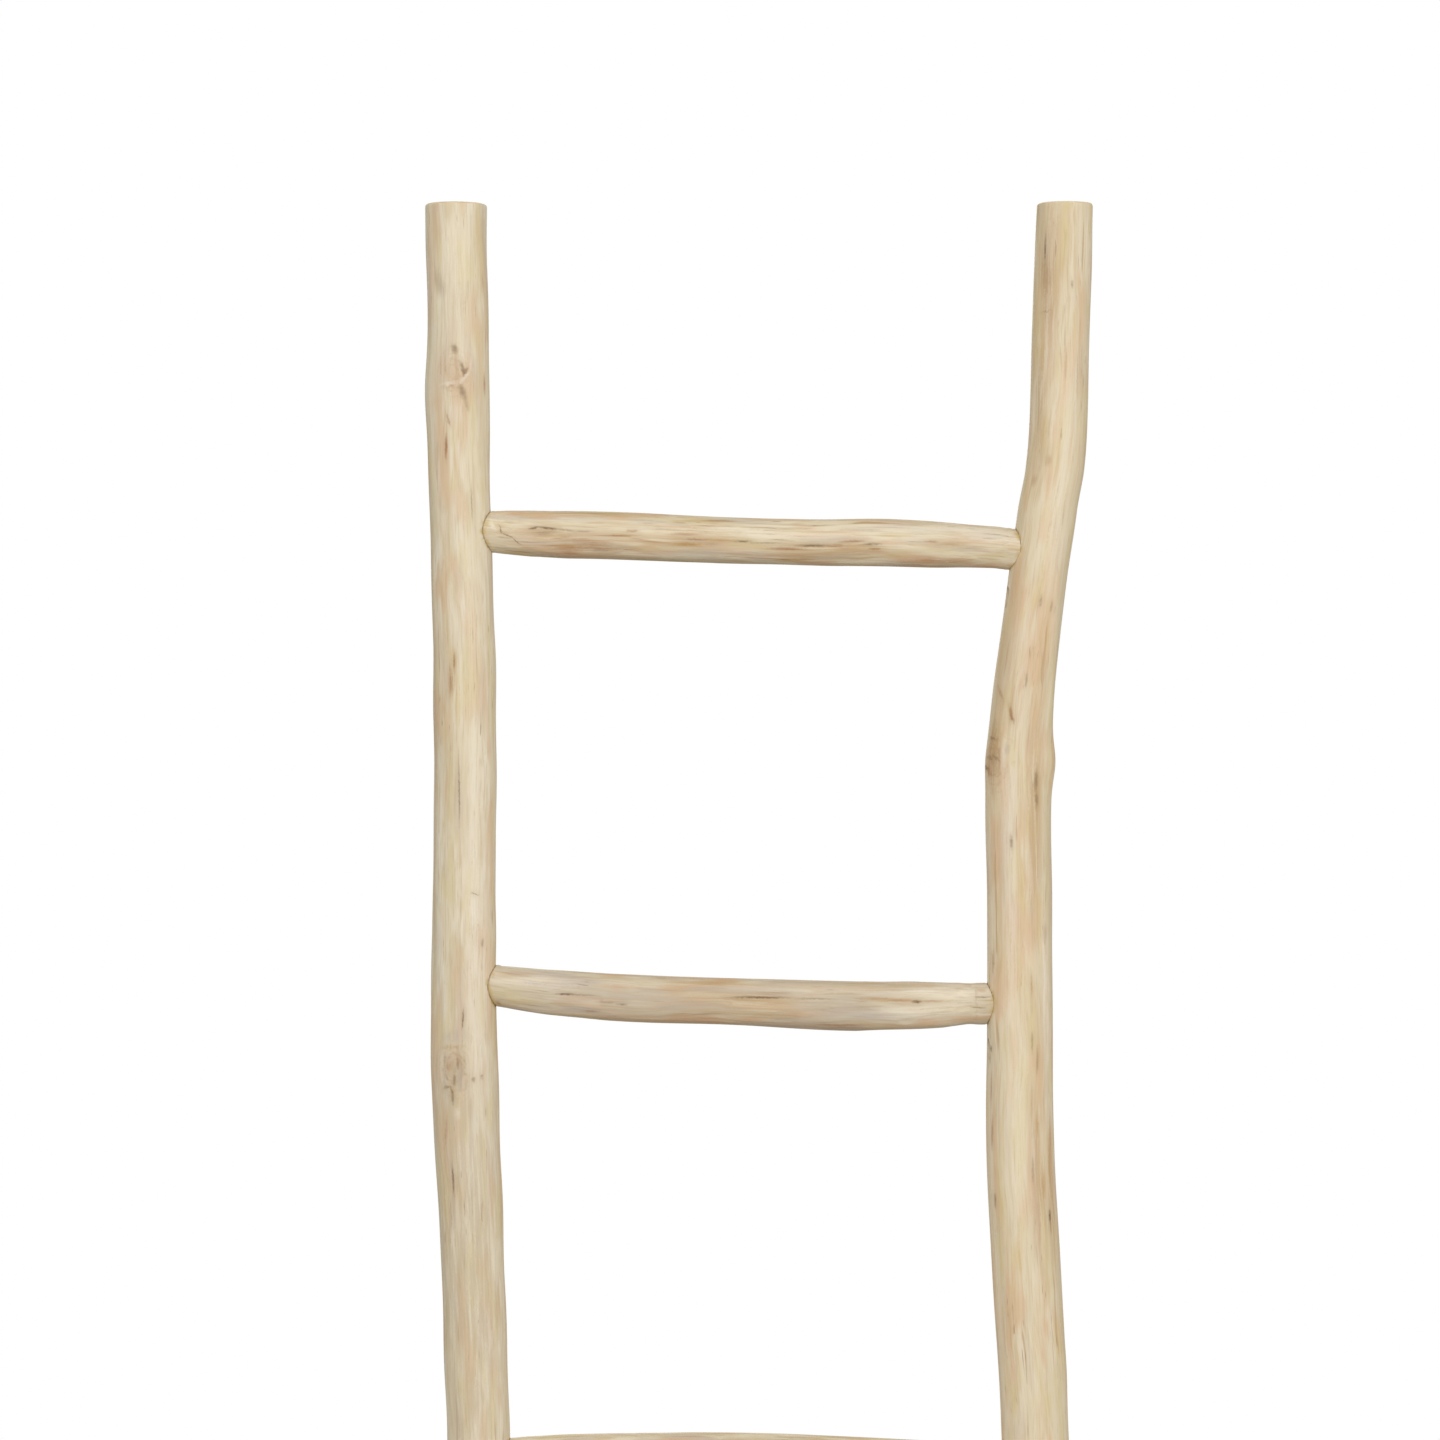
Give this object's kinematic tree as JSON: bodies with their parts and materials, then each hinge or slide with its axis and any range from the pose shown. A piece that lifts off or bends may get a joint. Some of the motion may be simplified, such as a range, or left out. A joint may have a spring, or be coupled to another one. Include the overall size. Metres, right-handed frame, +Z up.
{
  "type": "towel ladder",
  "caption": "Towel ladder of peeled branches: natural poles joined by whittled branch rungs in blind mortises, held by pocket screws.",
  "frame": {"origin": "on the floor, in the middle of the ladder's width and depth", "axes": "+Z up along the rails, +X across the rungs to the viewer's right, +Y to the back"},
  "size_m": [0.4826, 0.063, 1.75],
  "materials": {
    "rail_wood": "bare peeled branch, sanded, matt",
    "rung_wood": "bare peeled branch, whittled ends, matt",
    "screw_steel": "bright zinc"
  },
  "bodies": {
    "root": {"left_rail": "rail_wood", "right_rail": "rail_wood", "rung_1": "rung_wood", "rung_2": "rung_wood", "rung_3": "rung_wood", "rung_4": "rung_wood", "rung_5": "rung_wood", "screw_1_left": "screw_steel", "screw_1_right": "screw_steel", "screw_2_left": "screw_steel", "screw_2_right": "screw_steel", "screw_3_left": "screw_steel", "screw_3_right": "screw_steel", "screw_4_left": "screw_steel", "screw_4_right": "screw_steel", "screw_5_left": "screw_steel", "screw_5_right": "screw_steel"}
  },
  "joints": []
}
